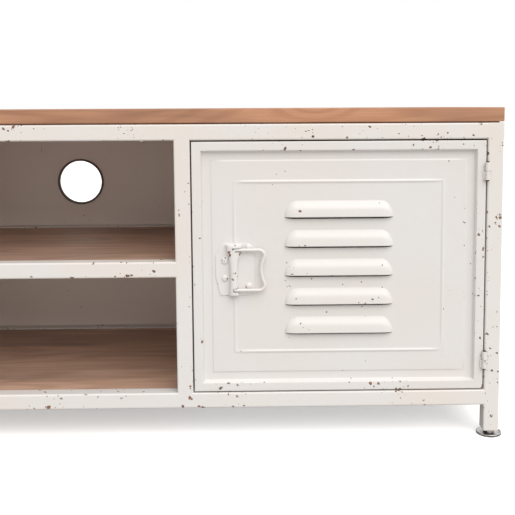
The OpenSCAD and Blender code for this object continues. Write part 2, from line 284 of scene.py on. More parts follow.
@dataclass(frozen=True)
class ChippedEnamel:
    """Satin enamel on steel, chipped down to brown rust, most of all along its edges."""

    name: str = "chipped_enamel"
    shade: Colour = (0.73, 0.682, 0.635)
    cool_shade: Colour = (0.72, 0.70, 0.685)
    scale_brown: Colour = (0.10, 0.065, 0.05)
    rust: Colour = (0.34, 0.13, 0.07)
    wear_everywhere: float = 0.16
    wear_on_edges: float = 0.9
    clumping: float = 1.0
    chip_size: float = 1.05
    roughness: float = 0.36
    grime: Colour = (0.50, 0.42, 0.34)
    dust_cells: float = 240.0
    speck_cells: float = 120.0
    chip_cells: float = 64.0
    speck_radii: tuple[float, float] = (0.07, 0.27)
    chip_radii: tuple[float, float] = (0.06, 0.22)
    tears: tuple[tuple[float, float], ...] = ((420.0, 0.0026), (150.0, 0.0075))

    def spots(self, made: Shader, where: Socket, cells: float, density: Socket,
              radii: tuple[float, float]) -> Socket:
        """Round spots of mixed sizes, each in its own cell.

        Args:
            made: The material.
            where: Coordinates with ragged noise in them.
            cells: Cells per metre.
            density: Share of the cells that hold a spot.
            radii: Radii of the smallest and the largest spot, in cells, before the chip size.

        Returns:
            How far inside a spot a point lies, above 0 inside.
        """
        small, large = (radius * self.chip_size for radius in radii)
        cell = made.node("TexVoronoi")
        made.feed(cell.inputs["Vector"], where)
        cell.inputs["Scale"].default_value = cells
        parts = made.node("SeparateColor")
        made.feed(parts.inputs[0], cell.outputs["Color"])
        size = made.math("POWER", parts.outputs["Green"], 2.0)
        radius = made.math("MULTIPLY_ADD", size, large - small, small)
        inside = made.math("SUBTRACT", radius, cell.outputs["Distance"])
        kept = made.math("LESS_THAN", parts.outputs["Red"], density)
        return made.math("MULTIPLY", made.math("DIVIDE", inside, large), kept)

    def tear(self, made: Shader, where: Socket, scale: float, far: float) -> Socket:
        """Noise that makes the outline of a chip ragged.

        Args:
            made: The material.
            where: Coordinates.
            scale: Frequency.
            far: How far it moves a point, in metres.

        Returns:
            The shift.
        """
        rag = made.node("TexNoise")
        made.feed(rag.inputs["Vector"], where)
        rag.inputs["Scale"].default_value = scale
        rag.inputs["Detail"].default_value = 3.0
        return made.vector("MULTIPLY", rag.outputs["Color"], (far,) * 3)

    def build(self) -> bpy.types.Material:
        """Wires the material.

        Returns:
            The material.
        """
        made = Shader(self.name)
        plain = made.place((1.0, 1.0, 1.0))
        torn = plain
        for scale, far in self.tears:
            torn = made.vector("ADD", torn, self.tear(made, plain, scale, far))
        edge = made.attribute("wear")
        patches = made.between(made.noise(plain, 11.0, 2.0), 0.48, 0.62)
        fine = made.between(made.noise(plain, 47.0, 2.0), 0.46, 0.60)
        groups = made.math("MULTIPLY", patches, made.math("MULTIPLY_ADD", fine, 0.8, 0.2))
        share = made.math("MULTIPLY_ADD", edge, self.wear_on_edges, self.wear_everywhere)
        spread = 0.025 + 0.8 * (1.0 - self.clumping)
        clumps = made.math("MULTIPLY_ADD", groups, 2.1 * self.clumping, spread)
        share = made.math("MULTIPLY", share, clumps)
        broken = made.math("MULTIPLY", share, made.between(edge, 0.1, 0.6))
        fewer = made.math("MULTIPLY", share, 0.6)
        dust = self.spots(made, torn, self.dust_cells, fewer, self.speck_radii)
        specks = self.spots(made, torn, self.speck_cells, share, self.speck_radii)
        chips = self.spots(made, torn, self.chip_cells, broken, self.chip_radii)
        depth = made.math("MAXIMUM", dust, made.math("MAXIMUM", specks, chips))
        bare = made.between(depth, 0.0, 0.10)
        core = made.between(depth, 0.12, 0.40)
        tone = made.noise(plain, 7.0, 4.0)
        colour = made.mix(made.between(tone, 0.35, 0.65), self.shade, self.cool_shade)
        grime = made.between(made.noise(plain, 130.0, 4.0, 0.7), 0.55, 0.95)
        colour = made.mix(made.math("MULTIPLY", grime, 0.10), colour, self.grime)
        rusted = made.math("MULTIPLY", core, made.between(tone, 0.30, 0.60))
        metal = made.mix(rusted, self.scale_brown, self.rust)
        colour = made.mix(bare, colour, metal)
        rough = made.math("MULTIPLY_ADD", made.noise(plain, 60.0, 3.0), 0.14, self.roughness - 0.07)
        rough = made.math("MULTIPLY_ADD", bare, 0.40, rough)
        flow = made.bump(made.noise(plain, 55.0, 2.0), 0.0008, 0.35)
        peel = made.bump(made.noise(plain, 700.0, 2.0), 0.00012, 0.5, flow)
        pits = made.bump(made.math("SUBTRACT", 1.0, bare), 0.0003, 0.8, peel)
        return made.finish(Base_Color=colour, Roughness=rough, Normal=pits)


@dataclass(frozen=True)
class OiledWood:
    """Softwood, stained brown and oiled, with its grain along X."""

    name: str
    early: Colour
    late: Colour
    stain: Colour
    stain_share: float = 0.45
    knot_share: float = 0.5
    roughness: float = 0.52
    stave_jumps: Point = (7.3, 3.1, 5.7)

    def build(self) -> bpy.types.Material:
        """Wires the material.

        Returns:
            The material.
        """
        made = Shader(self.name)
        stave = made.attribute("stave")
        jump = made.node("CombineXYZ")
        for socket, far in zip(jump.inputs, self.stave_jumps):
            made.feed(socket, made.math("MULTIPLY", stave, far))
        shift = jump.outputs[0]
        broad = made.place((1.4, 9.0, 9.0), shift)
        knots = made.node("TexVoronoi")
        made.feed(knots.inputs["Vector"], made.place((4.5, 11.0, 11.0), shift))
        knots.inputs["Scale"].default_value = 1.0
        draw = made.node("SeparateColor")
        made.feed(draw.inputs[0], knots.outputs["Color"])
        grown = made.math("LESS_THAN", draw.outputs["Red"], self.knot_share)
        near_knot = made.math("MULTIPLY", made.between(knots.outputs["Distance"], 0.32, 0.03), grown)
        knot = made.math("MULTIPLY", made.between(knots.outputs["Distance"], 0.105, 0.06), grown)
        swirl = made.math("MULTIPLY_ADD", near_knot, 0.11, made.noise(broad, 1.0, 2.5, 0.42))
        rings = made.math("SINE", made.math("MULTIPLY", swirl, 150.0))
        rings = made.between(rings, -0.5, 1.0)
        fibre = made.noise(made.place((22.0, 700.0, 700.0), shift), 1.0, 3.0, 0.6)
        streak = made.noise(made.place((3.5, 70.0, 70.0), shift), 1.0, 4.0, 0.62)
        streak = made.between(streak, 0.44, 0.74)
        cloud = made.noise(made.place((2.6, 14.0, 14.0), shift), 1.0, 3.0)
        cloud = made.between(cloud, 0.42, 0.64)
        colour = made.mix(made.math("MULTIPLY", rings, 0.50), self.early, self.late)
        colour = made.mix(made.math("MULTIPLY", streak, 0.55), colour, self.stain)
        colour = made.mix(made.math("MULTIPLY", cloud, self.stain_share), colour, self.stain)
        knot_brown = tuple(0.45 * c for c in self.stain)
        colour = made.mix(made.math("MULTIPLY", knot, 0.85), colour, knot_brown)
        darker = made.mix(0.45, colour, self.late)
        colour = made.mix(made.between(fibre, 0.35, 0.70), colour, darker)
        rough = made.math("MULTIPLY_ADD", fibre, 0.25, self.roughness - 0.12)
        grain = made.bump(fibre, 0.0003, 0.55)
        ridges = made.bump(rings, 0.0002, 0.4, grain)
        pores = made.bump(made.math("SUBTRACT", 1.0, streak), 0.0003, 0.35, ridges)
        return made.finish(Base_Color=colour, Roughness=rough, Normal=pores)


@dataclass(frozen=True)
class ZincPlate:
    """Zinc plating, slightly spangled and scuffed, brown where it is tarnished and, where the wear
    attribute asks for it, painted dark as shade.
    """

    name: str = "zinc_plate"
    shade: Colour = (0.93, 0.925, 0.91)
    dull: Colour = (0.72, 0.71, 0.69)
    tarnish_and_painted_shade: Colour = (0.10, 0.075, 0.065)

    def build(self) -> bpy.types.Material:
        """Wires the material.

        Returns:
            The material.
        """
        made = Shader(self.name)
        plain = made.place((1.0, 1.0, 1.0))
        cloud = made.noise(plain, 160.0, 4.0)
        scuff = made.between(made.noise(made.place((900.0, 900.0, 60.0)), 1.0, 3.0), 0.5, 0.8)
        colour = made.mix(made.between(cloud, 0.35, 0.7), self.shade, self.dull)
        # Random tarnish from the cloud, plus the wear attribute, which on the feet paints shadow and a dark
        # reflection.
        brown = made.math("MULTIPLY_ADD", cloud, 0.8, -0.6)
        brown = made.math("MULTIPLY_ADD", made.attribute("wear"), 1.3, brown)
        colour = made.mix(made.math("MAXIMUM", brown, 0.0, clamp=True), colour, self.tarnish_and_painted_shade)
        rough = made.math("MULTIPLY_ADD", scuff, 0.2, made.math("MULTIPLY_ADD", cloud, 0.25, 0.16))
        skin = made.bump(made.noise(plain, 900.0, 2.0), 0.00006, 0.6)
        return made.finish(Base_Color=colour, Metallic=1.0, Roughness=rough, Normal=skin)


@dataclass(frozen=True)
class DarkMoulding:
    """Moulded rubber or plastic with a fine skin."""

    name: str
    shade: Colour
    worn: Colour
    roughness: float

    def build(self) -> bpy.types.Material:
        """Wires the material.

        Returns:
            The material.
        """
        made = Shader(self.name)
        plain = made.place((1.0, 1.0, 1.0))
        cloud = made.noise(plain, 90.0, 4.0)
        colour = made.mix(made.between(cloud, 0.35, 0.75), self.shade, self.worn)
        rough = made.math("MULTIPLY_ADD", cloud, 0.22, self.roughness - 0.1)
        skin = made.bump(made.noise(plain, 1400.0, 2.0), 0.0001, 0.5)
        return made.finish(Base_Color=colour, Roughness=rough, Normal=skin)


@dataclass(frozen=True)
class StudioFloor:
    """Plain pale floor with a trace of texture, which throws less light back than it shows."""

    name: str = "studio_floor"
    shade: Colour = (0.93, 0.93, 0.925)
    cloudy: Colour = (0.85, 0.85, 0.84)
    thrown_back: Colour = (0.54, 0.53, 0.52)
    glow: float = 0.45

    def build(self) -> bpy.types.Material:
        """Wires the material.

        Returns:
            The material.
        """
        made = Shader(self.name)
        cloud = made.noise(made.place((1.0, 1.0, 1.0)), 3.0, 3.0)
        colour = made.mix(made.math("MULTIPLY", cloud, 0.04), self.shade, self.cloudy)
        made.finish(Base_Color=colour, Roughness=0.8, Emission_Color=(1.0, 1.0, 1.0, 1.0),
                    Emission_Strength=self.glow)
        matt = made.node("BsdfDiffuse")
        matt.inputs["Color"].default_value = (*self.thrown_back, 1.0)
        choose = made.node("MixShader")
        made.feed(choose.inputs[0], made.node("LightPath").outputs["Is Camera Ray"])
        made.feed(choose.inputs[1], matt.outputs[0])
        made.feed(choose.inputs[2], made.bsdf.outputs[0])
        made.feed(made.tree.nodes["Material Output"].inputs["Surface"], choose.outputs[0])
        return made.material


class Finishes:
    """All finishes, built once."""

    def __init__(self) -> None:
        """Builds the materials."""
        self.enamel = ChippedEnamel().build()
        self.door_enamel = ChippedEnamel(
            name="door_enamel", shade=(0.71, 0.677, 0.648), cool_shade=(0.71, 0.69, 0.677),
            wear_everywhere=0.03, wear_on_edges=1.0).build()
        self.trim_enamel = ChippedEnamel(
            name="trim_enamel", wear_everywhere=0.1, wear_on_edges=0.5, clumping=0.7, dust_cells=420.0,
            speck_cells=210.0, chip_cells=110.0).build()
        self.handle_enamel = ChippedEnamel(
            name="handle_enamel", wear_everywhere=0.01, wear_on_edges=0.75, clumping=0.3, chip_size=1.7,
            dust_cells=300.0, speck_cells=150.0, chip_cells=95.0).build()
        # Back sheets: a lit copy of the white enamel, painted cream and brighter than the frame's, which
        # paints in the warm light thrown back from the wood inside the bay.
        self.bounce_lit_sheet_enamel = ChippedEnamel(
            name="bounce_lit_sheet_enamel", shade=(0.84, 0.73, 0.66), cool_shade=(0.84, 0.75, 0.69),
            wear_everywhere=0.05).build()
        self.top_wood = OiledWood(
            "top_wood", early=(0.54, 0.275, 0.158), late=(0.40, 0.175, 0.09),
            stain=(0.17, 0.088, 0.056)).build()
        self.shelf_wood = OiledWood(
            "shelf_wood", early=(0.60, 0.39, 0.285), late=(0.42, 0.25, 0.17), stain=(0.20, 0.135, 0.11),
            stain_share=0.5).build()
        self.zinc = ZincPlate().build()
        # Near-black zinc for the lock nuts: painted shadow, for the dark line in the gap under each leg.
        self.shadow_painted_zinc = ZincPlate("shadow_painted_nut_zinc", (0.25, 0.21, 0.19), (0.10, 0.08, 0.07)).build()
        self.edging = DarkMoulding("edging_rubber", (0.13, 0.09, 0.072), (0.20, 0.145, 0.115), 0.55).build()
        self.plastic = DarkMoulding("black_plastic", (0.02, 0.018, 0.017), (0.05, 0.045, 0.04), 0.5).build()


# ---- mesh work ----


class Blank:
    """Mesh of one piece while it is being made, in millimetres."""

    def __init__(self, name: str) -> None:
        """Starts an empty mesh.

        Args:
            name: Name of the piece.
        """
        self.name = name
        self.mesh = bmesh.new()
        self.wear = self.mesh.verts.layers.float.new("wear")
        self.stave = self.mesh.verts.layers.float.new("stave")

    def point(self, place: Sequence[float], wear: float = 0.0,
              stave: float = 0.0) -> bmesh.types.BMVert:
        """Adds a vertex.

        Args:
            place: Where it is.
            wear: How much the finish is worn there, 0 to 1.
            stave: Number that tells one length of wood from the next.

        Returns:
            The vertex.
        """
        made = self.mesh.verts.new(place)
        made[self.wear] = wear
        made[self.stave] = stave
        return made

    def skin(self, rings: Sequence[list[bmesh.types.BMVert]]) -> None:
        """Joins a run of rings of vertices with quads.

        Args:
            rings: The rings, all of one length.
        """
        for first, second in zip(rings, rings[1:]):
            for i in range(len(first)):
                j = (i + 1) % len(first)
                self.mesh.faces.new((first[i], first[j], second[j], second[i]))

    def loft(self, rings: Sequence[Sequence[Sequence[float]]], wear: Sequence[float] | None = None,
             start_cap: bool = False, end_cap: bool = False) -> None:
        """Skins a run of closed rings.

        Args:
            rings: Points of each ring.
            wear: Wear of each ring.
            start_cap: Whether the first ring is closed by a face.
            end_cap: Whether the last ring is closed by a face.
        """
        amounts = wear or [0.0] * len(rings)
        rows = [[self.point(p, amount) for p in ring] for ring, amount in zip(rings, amounts)]
        self.skin(rows)
        if start_cap:
            self.mesh.faces.new(rows[0][::-1])
        if end_cap:
            self.mesh.faces.new(rows[-1])

    def lathe(self, profile: Sequence[tuple[float, float]], centre: Sequence[float],
              axis: Sequence[float] = (0, 0, 1), steps: int = 40, wear: float = 0.3,
              worn: Callable[[float, float], float] | None = None) -> None:
        """Turns a profile about an axis.

        Args:
            profile: Radius and height of each point; a radius of 0 closes the end.
            centre: Where height 0 is.
            axis: Direction of the height.
            steps: Points round the turn.
            wear: Wear of the turned surface.
            worn: Gives the wear at a radius and height, instead of the same wear everywhere.
        """
        turn = Vector((0, 0, 1)).rotation_difference(Vector(axis)).to_matrix()
        rows = []
        for radius, height in profile:
            amount = worn(radius, height) if worn else wear
            if radius == 0:
                rows.append([self.point(Vector(centre) + turn @ Vector((0, 0, height)), amount)])
                continue
            angles = (2 * math.pi * k / steps for k in range(steps))
            spots = (Vector((radius * math.cos(a), radius * math.sin(a), height)) for a in angles)
            rows.append([self.point(Vector(centre) + turn @ spot, amount) for spot in spots])
        for first, second in zip(rows, rows[1:]):
            if len(first) == 1 and len(second) > 1:
                for i in range(steps):
                    self.mesh.faces.new((first[0], second[(i + 1) % steps], second[i]))
            elif len(second) == 1 and len(first) > 1:
                for i in range(steps):
                    self.mesh.faces.new((first[i], first[(i + 1) % steps], second[0]))
            else:
                self.skin((first, second))

    def sweep(self, path: Sequence[Vector], radius: float, sides: int = 16, wear: float = 0.5) -> None:
        """Draws a round wire along a path.

        Args:
            path: Points of its middle line.
            radius: Radius of the wire.
            sides: Points round the wire.
            wear: Wear of the wire.
        """
        rings = []
        across = None
        for i, here in enumerate(path):
            ahead = (path[min(i + 1, len(path) - 1)] - path[max(i - 1, 0)]).normalized()
            if across is None:
                across = ahead.orthogonal().normalized()
            across = (across - ahead * across.dot(ahead)).normalized()
            other = ahead.cross(across)
            turns = (2 * math.pi * k / sides for k in range(sides))
            rings.append([here + radius * (math.cos(a) * across + math.sin(a) * other) for a in turns])
        self.loft(rings, [wear] * len(rings), True, True)

    def block(self, low: Sequence[float], high: Sequence[float], ease: float = 0.8, stave: float = 0.0,
              wear: float = 0.0) -> None:
        """Adds a block with eased edges.

        Args:
            low: Lowest corner.
            high: Highest corner.
            ease: Radius of the edges.
            stave: Number that tells one length of wood from the next.
            wear: Wear of the block.
        """
        part = bmesh.new()
        bmesh.ops.create_cube(part, size=1.0)
        size = Vector(high) - Vector(low)
        middle = (Vector(high) + Vector(low)) / 2
        move = Matrix.Translation(middle) @ Matrix.Diagonal((*size, 1.0))
        bmesh.ops.transform(part, matrix=move, verts=part.verts)
        if ease:
            bmesh.ops.bevel(part, geom=part.edges[:], offset=ease, segments=3, profile=0.5, affect="EDGES")
        known = {v: self.point(v.co, wear, stave) for v in part.verts}
        for face in part.faces:
            self.mesh.faces.new([known[v] for v in face.verts])
        part.free()

    def finish(self, material: bpy.types.Material, body: str, slot: Slot, *replaced: str,
               place: Matrix | None = None, sharp: float = 40.0, skin: float = 0.0) -> bpy.types.Object:
        """Turns the mesh into a piece of the cabinet.

        Args:
            material: Its finish.
            body: CAD body that it moves with.
            slot: Slot of the record that its finish stands for; not used.
            *replaced: CAD nodes that it stands for.
            place: Matrix from the piece's own axes to the cabinet's.
            sharp: Edges steeper than this many degrees stay sharp.
            skin: Thickness given to an open sheet, 0 for a closed piece.

        Returns:
            The piece.
        """
        move = Matrix.Scale(MM, 4) @ (place or Matrix.Identity(4))
        bmesh.ops.remove_doubles(self.mesh, verts=self.mesh.verts, dist=1e-4)
        bmesh.ops.transform(self.mesh, matrix=move, verts=self.mesh.verts)
        if move.determinant() < 0:
            bmesh.ops.reverse_faces(self.mesh, faces=self.mesh.faces)
        data = bpy.data.meshes.new(self.name)
        self.mesh.to_mesh(data)
        self.mesh.free()
        data.polygons.foreach_set("use_smooth", [True] * len(data.polygons))
        data.set_sharp_from_angle(angle=math.radians(sharp))
        data.materials.append(material)
        made = bpy.data.objects.new(self.name, data)
        bpy.context.scene.collection.objects.link(made)
        if skin:
            sheet = made.modifiers.new("sheet", "SOLIDIFY")
            sheet.thickness = skin * MM
            sheet.offset = -1.0
        made.modifiers.new("flat-faces", "WEIGHTED_NORMAL").keep_sharp = True
        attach(made, body)
        if replaced:
            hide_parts(*replaced)
        LOG.info("%s: %d faces on %s", self.name, len(data.polygons), body)
        return made


def arc(centre: tuple[float, float], radius: float, start: float, end: float,
        steps: int) -> list[tuple[float, float]]:
    """Points along a circular arc.

    Args:
        centre: Its centre.
        radius: Its radius.
        start: First angle, in degrees.
        end: Last angle, in degrees.
        steps: Number of chords.

    Returns:
        The points, both ends included.
    """
    angles = (math.radians(start + (end - start) * k / steps) for k in range(steps + 1))
    return [(centre[0] + radius * math.cos(a), centre[1] + radius * math.sin(a)) for a in angles]


def rounded_outline(outline: Sequence[tuple[float, float]], radius: float,
                    steps: int = 4) -> list[tuple[float, float]]:
    """Rounds the corners of a polygon.

    Args:
        outline: Its corners.
        radius: How far from a corner the rounding starts.
        steps: Number of chords at each corner.

    Returns:
        The rounded outline.
    """
    made = []
    for i, corner in enumerate(outline):
        here = Vector(corner)
        before = Vector(outline[i - 1]) - here
        after = Vector(outline[(i + 1) % len(outline)]) - here
        first = here + before.normalized() * min(radius, before.length / 2)
        last = here + after.normalized() * min(radius, after.length / 2)
        for k in range(steps + 1):
            t = k / steps
            made.append(tuple((1 - t) ** 2 * first + 2 * t * (1 - t) * here + t * t * last))
    return made


# ---- frame ----


@dataclass
class SquareTube:
    """One length of square steel tube, with round corners; its welds are ground flush."""

    node: str
    corner: float = 2.0
    wall: float = 1.2
    ramp: float = 3.5
    beside_corner: float = 0.25
    seen_inside: float = 14.0
    open_end: bool = False

    def section(self, side: float, corner: float) -> list[tuple[float, float, float]]:
        """Outline of the tube with its wear.

        Args:
            side: Side of the square.
            corner: Radius of its corners.

        Returns:
            Points across the tube, each with its wear.
        """
        half = side / 2
        inner = half - corner
        made = []
        for k, (sx, sy) in enumerate(((1, 1), (-1, 1), (-1, -1), (1, -1))):
            arc_points = arc((sx * inner, sy * inner), corner, 90 * k, 90 * k + 90, 4)
            made += [(x, y, 1.0) for x, y in arc_points]
            across = Vector(arc_points[-1])
            along = Vector(((-1, 0), (0, -1), (1, 0), (0, 1))[k])
            for step, wear in ((self.beside_corner, 0.9), (self.ramp, 0.25), (inner, 0.0),
                               (2 * inner - self.ramp, 0.25), (2 * inner - self.beside_corner, 0.9)):
                spot = across + along * step
                made.append((spot.x, spot.y, wear))
        return made

    def build(self, finishes: Finishes) -> bpy.types.Object:
        """Draws the tube in the place of its CAD node.

        Args:
            finishes: The finishes.

        Returns:
            The tube.
        """
        low, high = corners(self.node)
        size = high - low
        axis = max(range(3), key=lambda k: size[k])
        across = [(axis + 1) % 3, (axis + 2) % 3]
        side = size[across[0]]
        middle = (low + high) / 2
        blank = Blank(self.node.replace("_", "-") + ".tube")

        def ring(along: float, grow: float, end_wear: float) -> list[bmesh.types.BMVert]:
            """One ring of the tube.

            Args:
                along: Place along the tube.
                grow: How far it stands outside the tube's outline.
                end_wear: Least wear of the ring.

            Returns:
                Its vertices.
            """
            made = []
            for u, v, wear in self.section(side + 2 * grow, self.corner + grow):
                place = [0.0, 0.0, 0.0]
                place[axis] = along
                place[across[0]] = middle[across[0]] + u
                place[across[1]] = middle[across[1]] + v
                made.append(blank.point(place, max(wear, end_wear)))
            return made

        start, end = low[axis], high[axis]
        if self.open_end:
            stations = ((start + self.seen_inside, -self.wall, 0.2), (start, -self.wall, 1.0),
                        (start, -0.25, 1.0), (start + 0.3, 0.0, 1.0), (start + 3.0, 0.0, 0.9),
                        (start + 6.0, 0.0, 0.2), (end - 3.0, 0.0, 0.4), (end - 0.4, 0.0, 0.6),
                        (end, -0.4, 0.6))
        else:
            stations = ((start - self.corner, 0.0, 0.5), (start + 3.0, 0.0, 0.4), (start + 8.0, 0.0, 0.1),
                        (end - 8.0, 0.0, 0.1), (end - 3.0, 0.0, 0.4), (end + self.corner, 0.0, 0.5))
        rows = [ring(*station) for station in stations]
        blank.skin(rows)
        blank.mesh.faces.new(rows[0][::-1])
        blank.mesh.faces.new(rows[-1])
        return blank.finish(finishes.enamel, "frame", Slot.PAINT, self.node, sharp=50.0)


@dataclass
class Frame:
    """Welded tube frame with its sheets and small fittings."""

    welded: tuple[str, ...] = (
        "middle_post_front_left", "middle_post_front_right",
        "middle_post_back_left", "middle_post_back_right",
        "top_rail_front", "top_rail_back", "bottom_rail_front", "bottom_rail_back",
        "top_end_rail_left", "top_end_rail_right", "bottom_end_rail_left", "bottom_end_rail_right",
        "bottom_cross_rail_left", "bottom_cross_rail_right", "shelf_rail_front", "shelf_rail_back")
    legs: tuple[str, ...] = ("leg_front_left", "leg_front_right", "leg_back_left", "leg_back_right")
    back_sheets: tuple[str, ...] = ("back_sheet_left", "back_sheet_centre", "back_sheet_right")
    edging_wall: float = 3.2
    edging_lip: float = 2.0
    bright: tuple[str, ...] = ("board_screws", "top_screws", "strike_plate_left", "strike_plate_right")
    side_sheets: tuple[str, ...] = (
        "end_sheet_left", "end_sheet_right", "divider_sheet_left", "divider_sheet_right",
        "cabinet_floor_left", "cabinet_floor_right")

    def build(self, finishes: Finishes) -> None:
        """Draws the tubes and dresses what the CAD model already draws well.

        Args:
            finishes: The finishes.
        """
        for node in self.welded:
            SquareTube(node).build(finishes)
        for node in self.legs:
            SquareTube(node, open_end=True).build(finishes)
        # The back sheets take the enamel with painted warm bounce light from the wood.
        for node in self.back_sheets:
            dress(node, finishes.bounce_lit_sheet_enamel)
        for node in self.side_sheets:
            dress(node, finishes.door_enamel)
        dress("board_brackets", finishes.trim_enamel)
        dress("back_sheet_rivets", finishes.trim_enamel)
        dress("door_catches", finishes.plastic)
        dress("leg_inserts", finishes.plastic)
        for node in self.bright:
            dress(node, finishes.zinc)
        # The lock nuts are painted dark as the shadow under each leg.
        dress("foot_lock_nuts", finishes.shadow_painted_zinc)
        self.edge_the_hole(finishes)

    def edge_the_hole(self, finishes: Finishes) -> None:
        """Draws the soft ring round the cable hole.

        Args:
            finishes: The finishes.
        """
        low, high = corners("cable_hole_edging")
        middle = (low + high) / 2
        outer = (high.x - low.x) / 2
        inner = outer - self.edging_wall
        thick = high.y - low.y
        lip = self.edging_lip
        profile = [(inner, 0.8), (inner + 0.5, 0.2), (inner + 1.2, 0.0), (outer - 0.6, 0.0), (outer, 0.6),
                   (outer, lip), (outer - 1.6, lip + 0.5), (outer - 1.6, thick - lip - 0.5),
                   (outer, thick - lip), (outer, thick - 0.6), (outer - 0.6, thick), (inner + 1.2, thick),
                   (inner + 0.5, thick - 0.2), (inner, thick - 0.8), (inner, 0.8)]
        blank = Blank("cable-hole.edging")
        blank.lathe(profile, (middle.x, low.y, middle.z), (0, 1, 0), steps=96, wear=0.0)
        blank.finish(finishes.edging, "frame", Slot.EDGING, "cable_hole_edging", sharp=60.0)


def dress(node: str, material: bpy.types.Material) -> None:
    """Gives a CAD node its finish.

    Args:
        node: The node.
        material: The finish.
    """
    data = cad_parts[node].data
    if data.materials:
        for k in range(len(data.materials)):
            data.materials[k] = material
    else:
        data.materials.append(material)


# ---- wood ----


@dataclass
class Board:
    """A glued board of lengths that run along X, each with its own grain."""

    node: str
    staves: int
    ease: float = 0.7
    slab: float = 0.0
    groove: float = 5.0
    seed: int = 3

    def build(self, material: bpy.types.Material) -> bpy.types.Object:
        """Draws the board in the place of its CAD node.

        Args:
            material: Its wood.

        Returns:
            The board.
        """
        low, high = corners(self.node)
        under = high.z - self.slab if self.slab else low.z
        rng = random.Random(self.seed)
        blank = Blank(self.node.replace("_", "-") + ".wood")
        width = (high.y - low.y) / self.staves
        for k in range(self.staves):
            edge = low.y + k * width
            blank.block((low.x, edge, under), (high.x, edge + width, high.z), self.ease, rng.random())
        if self.slab:
            inset = Vector((self.groove, self.groove, 0.0))
            base_top = Vector((high.x, high.y, under + 0.5))
            blank.block(low + inset, base_top - inset, 0.3, rng.random())
        return blank.finish(material, "frame", Slot.WOOD, self.node, sharp=50.0)


# ---- doors ----


@dataclass
class Louvres:
    """Row of pressed louvres, each a hood with quarter-round ends and an open mouth below."""

    count: int = 5
    half: float = 68.0
    height: float = 21.0
    pitch: float = 36.9
    out: float = 5.2
    end: float = 15.0
    slit: float = 2.4
    beside: float = 0.8
    profile: tuple[tuple[float, float], ...] = (
        (1.0, 1.0), (0.95, 1.0), (0.82, 0.96), (0.66, 0.91), (0.54, 0.85), (0.45, 0.76), (0.36, 0.62),
        (0.27, 0.44), (0.17, 0.25), (0.08, 0.10), (0.03, 0.025), (0.0, 0.0))

    def columns(self) -> list[float]:
        """Places across the door where the hoods are drawn, from left to right."""
        ends = [self.half - self.end * (1 - math.cos(math.radians(15 * k))) for k in range(7)]
        right = sorted(set(round(x, 4) for x in ends))
        middle = [right[0] * k / 5 for k in range(-4, 5)]
        return [-x for x in reversed(right)] + middle + right

    def mouth(self, index: int) -> float:
        """Height of a louvre's mouth above the door's middle."""
        return (index - (self.count - 1) / 2) * self.pitch - self.height / 2

    def rise(self, x: float) -> float:
        """Share of the full hood at a place across the door."""
        over = max(0.0, abs(x) - (self.half - self.end)) / self.end
        return math.sqrt(max(0.0, 1.0 - over * over))


